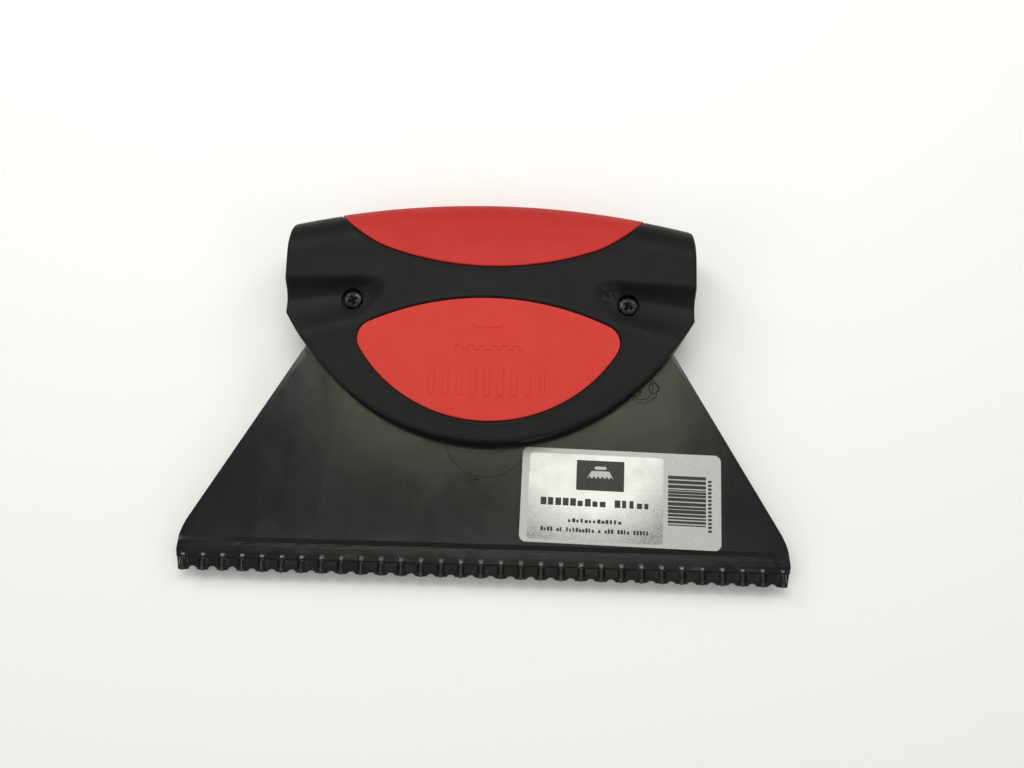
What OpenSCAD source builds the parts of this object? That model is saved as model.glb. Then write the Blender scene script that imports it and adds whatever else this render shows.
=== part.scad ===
// Notched adhesive trowel: a moulded blade edged with carbide pins, held in a two-shell handle.
// It is drawn flat, with y = 0 just above the tooth tips and the blade's middle plane on z = 0, and
// then laid on its back: the rear of the grip and of the lower rim rest on the ground plane.

/* [Blade] */
// Overall width across the tooth edge
blade_w = 280; // [240:1:320]
// Thickness of the main plate
plate_t = 3.4; // [3:0.1:4]
// Height of the end of the blade's tang
blade_h = 142; // [138:1:150]
// Lean of the side edges, in degrees from upright
side_lean = 29.6; // [26:0.1:33]
// Radius where the upright edge turns into the side edge
shoulder_r = 31; // [15:1:40]
// Height at which the tooth strip ends
strip_h = 12.6; // [11:0.1:16]
// Height of the thinned band that carries the teeth
band_h = 5.3; // [5:0.1:8]

/* [Teeth] */
// Number of carbide pins
pin_n = 31; // [11:2:31]
// Distance between two pins
pitch = 9.1; // [8:0.1:9.2]
// Radius of a pin
pin_r = 0.9; // [0.7:0.05:1]
// Length of a pin
pin_l = 11; // [9:0.5:12]
// Radius of the round notch between two teeth
notch_r = 2.2; // [1.8:0.1:3]

/* [Handle] */
// Half width of the handle
handle_x = 97.7; // [90:0.1:100]
// Radius of the middle of the handle's lower rim
rim_r = 103.5; // [100:0.1:110]
// Height of the lowest point of the rim
rim_y = 59.9; // [58:0.1:64]
// Radius of the rim towards the sides of the handle
flank_r = 150; // [120:1:200]
// Radius of the grip roll
roll_r = 17.5; // [16:0.1:18]
// Height of the roll's axis at the middle
roll_y = 163; // [160:0.5:165]
// Radius of the arch that the roll follows
arch_r = 390; // [300:10:500]
// Wall of the hollow shells
wall = 3; // [2.5:0.1:3.5]

/* [Pads] */
// Depth of the recess that holds a pad
pad_t = 2; // [1.5:0.1:2.5]
// Height by which a pad stands out of its recess
pad_rise = 0.35; // [0.2:0.05:0.5]

/* [Fastening] */
// Distance of each screw from the middle
screw_x = 66; // [60:0.5:70]
// Height of the screws
screw_y = 128; // [124:0.5:130]
// Radius of the screw thread
screw_r = 2; // [1.5:0.1:2.5]
// Radius of the screw head
head_r = 4.5; // [3.8:0.1:4.8]

/* [Label] */
// Width of the label
label_w = 92; // [60:1:92]
// Height of the label
label_h = 43.6; // [30:0.2:44]
// Turn of the label on the blade, in degrees
label_turn = -1.2; // [-1.5:0.1:1.5]

/* [Hidden] */
$fn = 96;
eps = 0.02;
big = 400;

// Faces of the blade, measured from its middle plane
front_z = plate_t / 2;
land_z = -plate_t / 2;
back_z = land_z + 0.2;
strip_z = front_z - 0.55;
band_z = front_z - 1.35;
tip_y = -0.5;
foot_y = 8.5;
notch_y = 0.65;
bevel_h = 1.8;
rib_r = 1.75;
rib_y0 = 1.6;
rib_y1 = 5.9;
dome_h = 1.7;
pin_y = -0.7;
pin_x0 = -pitch * (pin_n - 1) / 2;

// Handle: the revolve's axis and the web's front line, from the rim to the roll
axis_y = roll_y - arch_r;
rim_edge = rim_y - axis_y;
web_edge = 118 - axis_y;
rim_z = 11.7;
rim_turn = 41.8;
web_z = 13.2;
web_slope = (web_z - rim_z) / (web_edge - rim_edge);
rim_wall = 3.2;
cavity_t = pad_t + wall;
end_r = 6;
end_y = roll_y + 2;

// Screw joint
recess_r = 5.4;
seat_z = 7.2;
head_h = 2.3;
boss_r = 8;
spigot_r = 4.5;
spigot_gap = 0.2;
screw_l = 14.5;

// Rest pose: the rear of the roll's two ends and the lowest point of the rear rim touch the ground
roll_end_y = axis_y + sqrt(arch_r * arch_r - handle_x * handle_x);
reach = roll_end_y - rim_y;
rest_tilt = asin(roll_r / norm([reach, rim_z])) - atan2(rim_z, reach);
low_z = rim_y * sin(rest_tilt) - rim_z * cos(rest_tilt);
front_y = pin_y * cos(rest_tilt) - pin_r * sin(rest_tilt);
rear_y = roll_y * cos(rest_tilt) + roll_r + pad_rise;

PINS = [for (i = [1:pin_n]) str("pin_", i < 10 ? "0" : "", i)];

// Turns the flat drawing into the rest pose, with the origin under the middle of the part
module laid() {
    translate([0, -(front_y + rear_y) / 2, -low_z]) rotate([rest_tilt, 0, 0]) children();
}

module both_sides() {
    children();
    mirror([1, 0, 0]) children();
}

// ---------------------------------------------------------------- blade

// Outline of the blade, grown by gap, with its shoulders rounded
module blade_outline(gap = 0) {
    half_w = blade_w / 2 + gap;
    corner_y = 16.4;
    top_x = half_w - (blade_h - corner_y) * tan(side_lean);
    round_x = half_w - shoulder_r;
    round_y = corner_y - shoulder_r * tan(side_lean / 2);
    far = shoulder_r + 20;
    difference() {
        polygon([[-half_w + 1.6, tip_y], [half_w - 1.6, tip_y], [half_w, foot_y], [half_w, corner_y],
            [top_x, blade_h + gap], [-top_x, blade_h + gap], [-half_w, corner_y], [-half_w, foot_y]]);
        for (side = [-1, 1]) translate([side * round_x, round_y]) difference() {
            polygon([[0, 0], [side * far, 0], [side * far, far * tan(side_lean)]]);
            circle(shoulder_r + eps);
        }
    }
}

// Side view of the blade: teeth band, strip, bevel and plate on the front, land and plate behind
module blade_side() {
    strip_end = strip_h + bevel_h;
    polygon([[tip_y, land_z], [strip_h, land_z], [strip_h + 0.2, back_z], [blade_h, back_z],
        [blade_h, front_z], [strip_end, front_z], [strip_h, strip_z], [band_h, strip_z],
        [band_h, band_z], [tip_y, band_z]]);
}

module at_pins() {
    for (i = [0:pin_n - 1]) translate([pin_x0 + i * pitch, 0, 0]) children();
}

// Half-round housing over one pin, with a tapered top end
module pin_rib() {
    translate([0, rib_y0, 0]) rotate([-90, 0, 0]) cylinder(r = rib_r, h = rib_y1 - rib_y0);
    translate([0, rib_y1, 0]) rotate([-90, 0, 0]) cylinder(r1 = rib_r, r2 = rib_r / 3, h = dome_h);
}

module blade() {
    color("#2f3230") laid() difference() {
        union() {
            intersection() {
                translate([0, 0, -plate_t]) linear_extrude(2 * plate_t) blade_outline();
                rotate([90, 0, 90]) translate([0, 0, -big / 2]) linear_extrude(big) blade_side();
            }
            intersection() {
                at_pins() pin_rib();
                translate([-big / 2, 0, land_z]) cube([big, band_h + 4, plate_t]);
            }
        }
        at_pins() pin_body();
        for (i = [1:pin_n - 1]) translate([pin_x0 + (i - 0.5) * pitch, notch_y - notch_r, -plate_t])
            cylinder(r = notch_r, h = 2 * plate_t);
        both_sides() translate([screw_x, screw_y, -plate_t])
            cylinder(r = spigot_r + spigot_gap, h = 2 * plate_t);
    }
}

module pin_body() {
    translate([0, pin_y, 0]) rotate([-90, 0, 0]) cylinder(r = pin_r, h = pin_l);
}

module pin(i) {
    color("#8d8f90") laid() translate([pin_x0 + (i - 1) * pitch, 0, 0]) pin_body();
}

// ---------------------------------------------------------------- handle

// Round lower rim: an arc in the middle that runs into a wider one towards each side
module rim_shape(inset) {
    step = flank_r - rim_r;
    far = 2 * flank_r;
    translate([0, rim_y + rim_r]) circle(rim_r - inset, $fn = 200);
    for (side = [-1, 1]) translate([0, rim_y + rim_r]) difference() {
        translate([-side * step * sin(rim_turn), step * cos(rim_turn)]) circle(flank_r - inset, $fn = 200);
        polygon([[0, 0], [0, far], [-side * far, far], [-side * far, -far],
            [side * far * sin(rim_turn), -far * cos(rim_turn)]]);
    }
}

// Front outline of the handle: the lower rim between upright sides with rounded top corners
module handle_outline(inset = 0) {
    side = handle_x - inset;
    r = end_r - min(inset, end_r - 1);
    intersection() {
        rim_shape(inset);
        union() {
            translate([-side, 0]) square([2 * side, end_y]);
            translate([-(side - r), 0]) square([2 * (side - r), 2 * end_y]);
            for (x = [r - side, side - r]) translate([x, end_y]) circle(r);
        }
    }
}

// Section of the handle at the middle, drawn depth below its outer surface
module handle_section(depth) {
    polygon([[arch_r, 0], [arch_r - 1.75, roll_r - depth - 0.12], [web_edge, web_z - depth],
        [rim_edge - 20, rim_z - 20 * web_slope - depth], [rim_edge - 20, 0]]);
    translate([arch_r, 0]) circle(roll_r - depth);
}

// The section swept along the grip's arch; only the front half is kept
module handle_body(depth) {
    translate([0, axis_y, 0]) rotate_extrude($fn = 360) intersection() {
        handle_section(depth);
        translate([rim_edge - 30, 0]) square([200, 50]);
    }
}

// Finger scoop beside the roll, round at its inner end and wider towards the side of the handle
module scoop(grow = 0) {
    r = 12;
    wider = 13;
    length = 50;
    both_sides() translate([screw_x, screw_y, 9.4 + r]) {
        sphere(r + 0.2 + grow);
        rotate([0, 90 - atan(wider / length), 0]) rotate([9, 0, 0])
            cylinder(r1 = r + grow, r2 = r + wider + grow, h = length);
    }
}

// Outline of the upper pad: a disc with tighter ends that climb the roll
module crescent_outline() {
    low_y = 144.2;
    disc_r = 153;
    tight_r = 50;
    turn = asin(48 / disc_r);
    disc_y = low_y + disc_r;
    tight_x = (disc_r - tight_r) * sin(turn);
    tight_y = disc_y - (disc_r - tight_r) * cos(turn);
    far = 2 * disc_r;
    difference() {
        translate([0, disc_y]) circle(disc_r);
        for (side = [-1, 1]) translate([side * tight_x, tight_y])
            polygon([[0, 0], [side * far * sin(turn), -far * cos(turn)], [side * far, -far], [side * far, 0]]);
    }
    for (side = [-1, 1]) translate([side * tight_x, tight_y]) circle(tight_r + eps);
}

// Outline of the lens pad: two arcs whose tips are rounded
module lens_outline() {
    top_r = 133;
    low_r = 71.5;
    tip_r = 9;
    top_c = 128.9 - top_r;
    low_c = 69.8 + low_r;
    a = top_r - tip_r;
    b = low_r - tip_r;
    tip_y = (a * a - b * b) / (2 * (low_c - top_c)) + (low_c + top_c) / 2;
    tip_x = sqrt(b * b - (tip_y - low_c) * (tip_y - low_c));
    up = [tip_x, tip_y - top_c] / a;
    down = [tip_x, tip_y - low_c] / b;
    far = 2 * tip_r;
    difference() {
        intersection() {
            translate([0, top_c]) circle(top_r);
            translate([0, low_c]) circle(low_r);
        }
        for (side = [-1, 1]) translate([side * tip_x, tip_y])
            polygon([for (p = [[0, 0], far * up, [2 * far, 0], far * down]) [side * p[0], p[1]]]);
    }
    for (side = [-1, 1]) translate([side * tip_x, tip_y]) circle(tip_r + eps);
}

// Layer of the handle's surface between two depths
module surface_layer(outer, inner) {
    intersection() {
        difference() {
            handle_body(outer);
            handle_body(inner);
        }
        linear_extrude(50) handle_outline();
    }
}

// Room inside one shell: open to the blade, with walls under the pads, scoops and screws
module cavity() {
    difference() {
        intersection() {
            handle_body(cavity_t);
            translate([0, 0, -1]) linear_extrude(50) handle_outline(rim_wall);
        }
        scoop(wall);
        both_sides() translate([screw_x, screw_y, -2]) cylinder(r = boss_r, h = 40);
        for (x = [-40, 0, 40]) translate([x - 1, rim_y, -2]) cube([2, 200, 40]);
    }
}

// Half of the handle on the +z side, as it is before its screw features
module shell(blade_face) {
    difference() {
        intersection() {
            handle_body(0);
            linear_extrude(50) handle_outline();
        }
        cavity();
        scoop();
        translate([0, 0, -1]) linear_extrude(blade_face + 1) blade_outline(0.15);
        intersection() {
            surface_layer(-2, pad_t);
            union() {
                translate([0, 0, -1]) linear_extrude(50) crescent_outline();
                translate([0, 0, 1]) linear_extrude(50) lens_outline();
            }
        }
    }
}

module handle_front_shell() {
    color("#262726") laid() difference() {
        shell(front_z);
        both_sides() translate([screw_x, screw_y, 0]) {
            translate([0, 0, seat_z]) cylinder(r = recess_r, h = 20);
            cylinder(r = screw_r + 0.3, h = 20);
        }
    }
}

module handle_rear_shell() {
    color("#262726") laid() difference() {
        union() {
            mirror([0, 0, 1]) shell(-back_z);
            both_sides() translate([screw_x, screw_y, back_z - 1])
                cylinder(r = spigot_r, h = front_z - back_z + 1);
        }
        both_sides() translate([screw_x, screw_y, seat_z - screw_l])
            cylinder(r = screw_r, h = screw_l);
    }
}

module crescent_pad() {
    intersection() {
        surface_layer(-pad_rise, pad_t);
        linear_extrude(50) crescent_outline();
    }
}

module lens_pad() {
    intersection() {
        surface_layer(-pad_rise, pad_t);
        translate([0, 0, 1]) linear_extrude(50) lens_outline();
    }
}

module front_grip_crescent() {
    color("#c83c37") laid() crescent_pad();
}

module rear_grip_crescent() {
    color("#c83c37") laid() mirror([0, 0, 1]) crescent_pad();
}

module front_lens_pad() {
    color("#d7423e") laid() lens_pad();
}

module rear_lens_pad() {
    color("#d7423e") laid() mirror([0, 0, 1]) lens_pad();
}

// ---------------------------------------------------------------- screws and label

module handle_screws() {
    cross_w = 1.1;
    cross_l = 4.6;
    cross_h = 1.4;
    color("#1d1d1d") laid() both_sides() translate([screw_x, screw_y, seat_z]) difference() {
        union() {
            cylinder(r = head_r, h = head_h - 0.8);
            translate([0, 0, head_h - 0.8]) cylinder(r1 = head_r, r2 = head_r - 0.9, h = 0.8);
            translate([0, 0, -screw_l]) cylinder(r = screw_r, h = screw_l + 1);
        }
        for (turn = [0, 90]) rotate(turn)
            translate([-cross_l / 2, -cross_w / 2, head_h - cross_h]) cube([cross_l, cross_w, 3]);
    }
}

module label() {
    r = 3;
    color("#c9cac8") laid() translate([63.3, 37.4, front_z]) rotate(label_turn) linear_extrude(0.15) {
        square([label_w - 2 * r, label_h], center = true);
        square([label_w, label_h - 2 * r], center = true);
        for (x = [-1, 1], y = [-1, 1])
            translate([x * (label_w / 2 - r), y * (label_h / 2 - r)]) circle(r);
    }
}

blade();
handle_front_shell();
handle_rear_shell();
front_grip_crescent();
front_lens_pad();
rear_grip_crescent();
rear_lens_pad();
handle_screws();
label();
for (i = [1:pin_n]) pin(i);
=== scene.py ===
"""Looks of a notched adhesive trowel, built round its CAD part.

Shapes are worked out in the part's own drawing frame, in millimetres: x runs along the toothed
edge, y from the tooth tips to the grip, and z out of the blade's front face, from its middle plane.
Each piece is then laid in the rest pose and stored in metres.
"""

import math

import bmesh
import bpy
import numpy as np
from mathutils import Euler, Matrix, Vector
from mathutils.geometry import delaunay_2d_cdt
from mathutils.kdtree import KDTree

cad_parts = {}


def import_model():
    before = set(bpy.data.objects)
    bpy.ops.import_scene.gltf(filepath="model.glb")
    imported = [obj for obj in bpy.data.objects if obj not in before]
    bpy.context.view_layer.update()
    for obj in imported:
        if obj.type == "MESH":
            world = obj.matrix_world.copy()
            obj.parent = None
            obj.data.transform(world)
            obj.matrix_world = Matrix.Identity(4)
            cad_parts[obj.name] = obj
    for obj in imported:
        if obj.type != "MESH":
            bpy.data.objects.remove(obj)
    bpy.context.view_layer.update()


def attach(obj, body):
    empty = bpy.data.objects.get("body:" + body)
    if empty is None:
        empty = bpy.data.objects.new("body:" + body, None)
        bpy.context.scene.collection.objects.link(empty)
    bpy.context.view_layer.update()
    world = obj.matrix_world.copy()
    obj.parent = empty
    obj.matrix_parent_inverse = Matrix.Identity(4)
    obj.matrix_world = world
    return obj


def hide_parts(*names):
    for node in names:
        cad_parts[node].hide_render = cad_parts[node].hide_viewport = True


MM = 0.001

# Meshing; WELD and SLIVER are in metres
LINE_STEP = 0.7
LOOSE_STEP = 1.5
SEAM_STEP = 1.0
SEAM_SPARE = 3.0
WELD = 2e-7
SLIVER = 1e-8
SHARP_TURN = math.radians(32)

# Blade and teeth
BLADE_W = 280.0
PLATE_T = 3.4
BLADE_H = 142.0
SIDE_LEAN = math.radians(29.6)
SHOULDER_R = 31.0
CORNER_Y = 16.4
STRIP_H = 12.6
BEVEL_H = 1.8
BAND_H = 5.3
TIP_Y = -0.5
FOOT_Y = 8.5
PIN_COUNT = 31
PITCH = 9.1
FIRST_PIN_X = -PITCH * (PIN_COUNT - 1) / 2
PIN_R = 0.9
PIN_L = 11.0
PIN_Y = -0.7
NOTCH_R = 2.2
NOTCH_Y = 0.65
NOTCH_BEVEL = 0.7
RIB_R = 1.75
RIB_W = 2.6
RIB_FROM = 1.6
RIB_TO = 5.1
RIB_FOOT = 0.3
RAMP_L = 2.75
RAMP_W = 0.9
RAMP_FAN = 0.45
RAMP_FOOT = 0.05
RAMP_BLEND = 1.0
FRONT_Z = PLATE_T / 2
LAND_Z = -PLATE_T / 2
BACK_Z = LAND_Z + 0.2
STRIP_Z = FRONT_Z - 0.55
STRIP_FALL = 0.16
BAND_Z = FRONT_Z - 1.35
BAND_FALL = 0.05
BAND_STEP = 0.22
BACK_STEP = 0.2
GROOVE_D = 0.08
GROOVE_W = 0.15
PLATE_EDGE_R = 0.25
PITS = [(-5.0, 11.3), (4.8, 11.3)]
PIT_R = 0.55
PIT_FLOOR_R = 0.35
PIT_D = 0.5
WORN_NOTCHES = 3
WORN_BY = 0.7
NICK = 0.12

# Handle
HANDLE_X = 97.7
RIM_R = 103.5
RIM_Y = 59.9
RIM_TURN = math.radians(41.8)
FLANK_R = 150.0
RIM_Z = 11.7
WEB_Y = 118.0
WEB_Z = 13.2
WEB_BLEND = 8.0
SCOOP_BLEND = 2.2
# Where a painted highlight sits on the inner end of the right scoop, beside its screw
PAINTED_HIGHLIGHT_AT = (57, 132, 13)
ROLL_R = 17.5
ROLL_Y = 163.0
ARCH_R = 390.0
END_R = 6.0
AXIS_Y = ROLL_Y - ARCH_R
EDGE_R = 1.5
SEAM_R = 0.35
BLADE_GAP = 0.02

# Pads
PAD_GAP = 0.12
PAD_LIP = 0.6
CRESCENT_RISE = 0.3
LENS_RISE = 0.12
CAD_PAD_RISE = 0.35
RELIEF = 0.28
RELIEF_SLOPE = 0.22
RECESS_LIP = 1.0
RECESS_DEPTH = 1.3
RECESS_WALL = 0.05
BEAD_AT = 1.35
BEAD_W = 0.25
BEAD_H = 0.07

# Screws
SCREW_X = 66.0
SCREW_Y = 128.0
RECESS_R = 5.4
SEAT_Z = 7.2
SEAT_LIP = 0.25
SEAT_WALL = 0.04
HEAD_R = 4.4
HEAD_H = 2.3
CROSS_W = 1.9
CROSS_L = 5.2

# Label
LABEL_AT = (63.3, 37.4)
LABEL_W = 92.0
LABEL_H = 43.6
LABEL_T = 0.15
LABEL_TURN = math.radians(-1.2)
FOIL_SPOT = (0.037, 0.055, 0.712, 0.965)
EMBLEM_SPOT = (0.275, 0.115, 0.515, 0.435)
STRIPES_X = (0.735, 0.925)
STRIPES_Y = (0.235, 0.75)
INK = 0.015

# Camera, placed in the drawing frame
CAMERA_AT = (19.79, -5.78, 395.1)
CAMERA_TURN = (13.736, 0.772, 1.716)
LENS = 29.88
SENSOR = 36.0

# The range that most of a noise texture's values lie in
NOISE_LOW = 0.3
NOISE_HIGH = 0.7

DICE = np.random.default_rng(7)


# ---------- rest pose

def rest_pose():
    """Matrix that lays the drawing frame, in millimetres, in the row frame, in metres."""
    end_y = AXIS_Y + math.sqrt(ARCH_R**2 - HANDLE_X**2)
    reach = end_y - RIM_Y
    tilt = math.asin(ROLL_R / math.hypot(reach, RIM_Z)) - math.atan2(RIM_Z, reach)
    low = RIM_Y * math.sin(tilt) - RIM_Z * math.cos(tilt)
    front = PIN_Y * math.cos(tilt) - PIN_R * math.sin(tilt)
    rear = ROLL_Y * math.cos(tilt) + ROLL_R + CAD_PAD_RISE
    shift = Matrix.Translation((0, -(front + rear) / 2, -low))
    return Matrix.Scale(MM, 4) @ shift @ Matrix.Rotation(tilt, 4, "X")


# ---------- lines and rings in the plane

def arc(x, y, r, start, end, step):
    """Points along an arc; the angles are in degrees."""
    turn = np.radians(end - start)
    count = max(3, int(abs(turn) * r / step))
    t = np.radians(start) + np.linspace(0, 1, count + 1) * turn
    return np.column_stack([x + r * np.cos(t), y + r * np.sin(t)])


def circle(x, y, r, step=0.4):
    """A closed ring of points."""
    return arc(x, y, r, 0, 360, step)[:-1]


def closed(ring):
    """A ring's points with the first one again at the end."""
    return np.vstack([ring, ring[:1]])


def level_line(half, y, step):
    """A level line from -half to half."""
    return resample(np.array([[-half, y], [half, y]]), step)


def turned(points, turn):
    """Points turned anticlockwise round the origin."""
    c = math.cos(turn)
    s = math.sin(turn)
    return points @ np.array([[c, s], [-s, c]])


def resample(line, step):
    """The same open line with evenly spaced points, about a step apart."""
    gaps = np.hypot(*np.diff(line, axis=0).T)
    along = np.concatenate([[0], np.cumsum(gaps)])
    count = max(2, int(round(along[-1] / step)))
    at = np.linspace(0, along[-1], count + 1)
    return np.column_stack([np.interp(at, along, line[:, k]) for k in (0, 1)])


def even_ring(ring, step):
    """The same closed ring with evenly spaced points."""
    return resample(closed(ring), step)[:-1]


def offset(line, by, ring=True):
    """A line moved sideways, to its right by that distance: outwards for an anticlockwise ring."""
    if ring:
        before = line - np.roll(line, 1, 0)
        after = np.roll(line, -1, 0) - line
    else:
        steps = np.diff(line, axis=0)
        before = np.vstack([steps[:1], steps])
        after = np.vstack([steps, steps[-1:]])
    sides = []
    for way in (before, after):
        way = way / np.maximum(np.hypot(*way.T), 1e-9)[:, None]
        sides.append(np.column_stack([way[:, 1], -way[:, 0]]))
    sharpest = 0.4
    share = np.maximum(1 + (sides[0] * sides[1]).sum(1), sharpest)
    mitre = (sides[0] + sides[1]) / share[:, None]
    return line + by * mitre


def distance(points, line):
    """Distance from each point to an open line whose points are close together."""
    tree = KDTree(len(line))
    for k, (x, y) in enumerate(line.tolist()):
        tree.insert((x, y, 0), k)
    tree.balance()
    near = np.array([tree.find((x, y, 0))[1] for x, y in points.tolist()], int)
    best = np.full(len(points), np.inf)
    for first in (np.maximum(near - 1, 0), np.minimum(near, len(line) - 2)):
        run = line[first + 1] - line[first]
        gap = points - line[first]
        share = np.clip((gap * run).sum(1) / np.maximum((run**2).sum(1), 1e-12), 0, 1)
        best = np.minimum(best, np.hypot(*(gap - share[:, None] * run).T))
    return best


def inside(points, ring):
    """True for each point that lies inside a closed ring."""
    a = ring
    b = np.roll(ring, -1, 0)
    rise = np.where(b[:, 1] == a[:, 1], 1e-12, b[:, 1] - a[:, 1])
    found = np.empty(len(points), bool)
    batch = 3000
    for i in range(0, len(points), batch):
        x = points[i:i + batch, :1]
        y = points[i:i + batch, 1:]
        spans = (a[:, 1] > y) != (b[:, 1] > y)
        meets = a[:, 0] + (y - a[:, 1]) * (b[:, 0] - a[:, 0]) / rise
        found[i:i + batch] = (spans & (x < meets)).sum(1) % 2 == 1
    return found


def signed(points, ring):
    """Distance to a closed ring, negative inside it."""
    away = distance(points, closed(ring))
    return np.where(inside(points, ring), -away, away)


def grid(ring, step):
    """Points of a triangular grid over a ring's box."""
    lo = ring.min(0)
    hi = ring.max(0)
    row = step * 0.866
    found = []
    for k, y in enumerate(np.arange(lo[1], hi[1], row)):
        x = np.arange(lo[0] + (k % 2) * step / 2, hi[0], step)
        found.append(np.column_stack([x, np.full(len(x), y)]))
    return np.vstack(found)


def clear_of(points, lines, gap):
    """The points that aren't within gap of a line, given as (points, whether it is a ring)."""
    keep = np.ones(len(points), bool)
    for line, ring in lines:
        run = closed(line) if ring else line
        near = keep & ((points > run.min(0) - gap) & (points < run.max(0) + gap)).all(1)
        at = np.flatnonzero(near)
        keep[at[distance(points[at], run) < gap]] = False
    return points[keep]


def bend_steps(r, count=5):
    """Distances from an edge at which a rounding of that radius needs points."""
    return [r * (1 - math.cos(math.pi / 2 * k / count)) for k in range(1, count + 1)]


def edge_round(away, r):
    """Depth of a rounded edge below its surface, at some distance from the edge."""
    t = np.clip(away, 0, r)
    return r - np.sqrt(r**2 - (r - t)**2)


def smooth_step(t):
    """A share that leaves 0 and reaches 1 without a corner."""
    t = np.clip(t, 0, 1)
    return t * t * (3 - 2 * t)


def soft_min(a, b, k):
    """The smaller of two values, with the corner between them blended over k."""
    share = np.clip(0.5 + 0.5 * (b - a) / k, 0, 1)
    return b + (a - b) * share - k * share * (1 - share)


def soft_max(a, b, k):
    """The larger of two values, blended in the same way."""
    return -soft_min(-a, -b, k)


def triangulate(border, lines, loose):
    """Triangles inside a closed border that follow every line and use every loose point."""
    points = []
    edges = []
    total = 0
    for line, ring in [(border, True)] + lines:
        points.append(line)
        ids = np.arange(total, total + len(line))
        edges += list(zip(ids[:-1].tolist(), ids[1:].tolist()))
        if ring:
            edges.append((int(ids[-1]), int(ids[0])))
        total += len(line)
    points.append(loose)
    flat = [Vector((float(x), float(y))) for x, y in np.vstack(points)]
    made = delaunay_2d_cdt(flat, edges, [], 0, 1e-5, False)
    found = np.array([tuple(p) for p in made[0]])
    faces = np.array([f for f in made[2] if len(f) == 3])
    faces = faces[inside(found[faces].mean(1), border)]
    used = np.unique(faces)
    new = np.full(len(found), -1)
    new[used] = np.arange(len(used))
    return found[used], new[faces]


# ---------- meshes

def solid(top, faces, bottom):
    """A closed mesh: one surface, its copy below, and walls along the border between them."""
    count = len(top)
    edges = np.vstack([faces[:, [0, 1]], faces[:, [1, 2]], faces[:, [2, 0]]])
    keys = np.sort(edges, axis=1)
    _, first, uses = np.unique(keys, axis=0, return_index=True, return_counts=True)
    rim = edges[first[uses == 1]]
    walls = np.column_stack([rim[:, 1], rim[:, 0], rim[:, 0] + count, rim[:, 1] + count])
    made = faces.tolist() + (faces[:, ::-1] + count).tolist() + walls.tolist()
    return np.vstack([top, bottom]), made


def spun(profile, count):
    """A closed mesh of revolution round z, from points (radius, height) that start and end on it."""
    turn = np.linspace(0, 2 * np.pi, count, endpoint=False)
    points = [(0, 0, profile[0][1])]
    for r, z in profile[1:-1]:
        points += [(r * math.cos(t), r * math.sin(t), z) for t in turn]
    points.append((0, 0, profile[-1][1]))
    rows = len(profile) - 2
    faces = [(0, 1 + (k + 1) % count, 1 + k) for k in range(count)]
    for row in range(rows - 1):
        a = 1 + row * count
        for k in range(count):
            n = (k + 1) % count
            faces.append((a + k, a + n, a + count + n, a + count + k))
    last = 1 + (rows - 1) * count
    end = len(points) - 1
    faces += [(last + k, last + (k + 1) % count, end) for k in range(count)]
    return np.array(points), faces


def joined(meshes):
    """Several meshes as one."""
    points = []
    faces = []
    total = 0
    for found, made in meshes:
        points.append(found)
        faces += [[i + total for i in f] for f in made]
        total += len(found)
    return np.vstack(points), faces


def placed(name, data):
    """A new object in the scene."""
    made = bpy.data.objects.new(name, data)
    bpy.context.scene.collection.objects.link(made)
    return made


def piece(name, mesh, material, nodes=()):
    """A finished piece of the tool, laid in the rest pose, that rides on the only body."""
    points, faces = mesh
    data = bpy.data.meshes.new(name)
    data.from_pydata([Vector(p) for p in points], [], faces)
    data.transform(rest_pose())
    shape = bmesh.new()
    shape.from_mesh(data)
    bmesh.ops.remove_doubles(shape, verts=shape.verts, dist=WELD)
    bmesh.ops.dissolve_degenerate(shape, edges=shape.edges, dist=SLIVER)
    bmesh.ops.recalc_face_normals(shape, faces=shape.faces)
    shape.to_mesh(data)
    shape.free()
    data.polygons.foreach_set("use_smooth", [True] * len(data.polygons))
    data.set_sharp_from_angle(angle=SHARP_TURN)
    data.materials.append(material)
    made = placed(name, data)
    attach(made, "root")
    if nodes:
        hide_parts(*nodes)
    return made


# ---------- handle surface

def handle_profile():
    """The handle's section: radius from the arch's axis, height, and length along the surface."""
    rim = RIM_Y - AXIS_Y
    web = WEB_Y - AXIS_Y
    lower = (WEB_Z - RIM_Z) / (web - rim)
    start = math.radians(5.5)
    roll_rho = ARCH_R - ROLL_R * math.sin(start)
    roll_z = ROLL_R * math.cos(start)
    upper = (roll_z - WEB_Z) / (roll_rho - web)
    below_rim = 30
    rho = np.linspace(rim - below_rim, roll_rho, 900)
    bend = WEB_BLEND * np.logaddexp(0, (rho - web) / WEB_BLEND)
    z = RIM_Z + lower * (rho - rim) + (upper - lower) * bend
    turn = np.linspace(-start, math.pi / 2, 700)[1:]
    rho = np.concatenate([rho, ARCH_R + ROLL_R * np.sin(turn)])
    z = np.concatenate([z, ROLL_R * np.cos(turn)])
    along = np.concatenate([[0], np.cumsum(np.hypot(np.diff(rho), np.diff(z)))])
    way = np.column_stack([np.gradient(rho, along), np.gradient(z, along)])
    way /= np.hypot(*way.T)[:, None]
    return {"rho": rho, "z": z, "v": along, "out_rho": -way[:, 1], "out_z": way[:, 0]}


PROFILE = handle_profile()
SEAM_V = PROFILE["v"][-1]


def unwrap(points):
    """Places on the front outline as (distance round the arch, distance along the section)."""
    rho = np.hypot(points[:, 0], points[:, 1] - AXIS_Y)
    phi = np.arctan2(points[:, 0], points[:, 1] - AXIS_Y)
    return np.column_stack([phi * ARCH_R, np.interp(rho, PROFILE["rho"], PROFILE["v"])])


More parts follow.
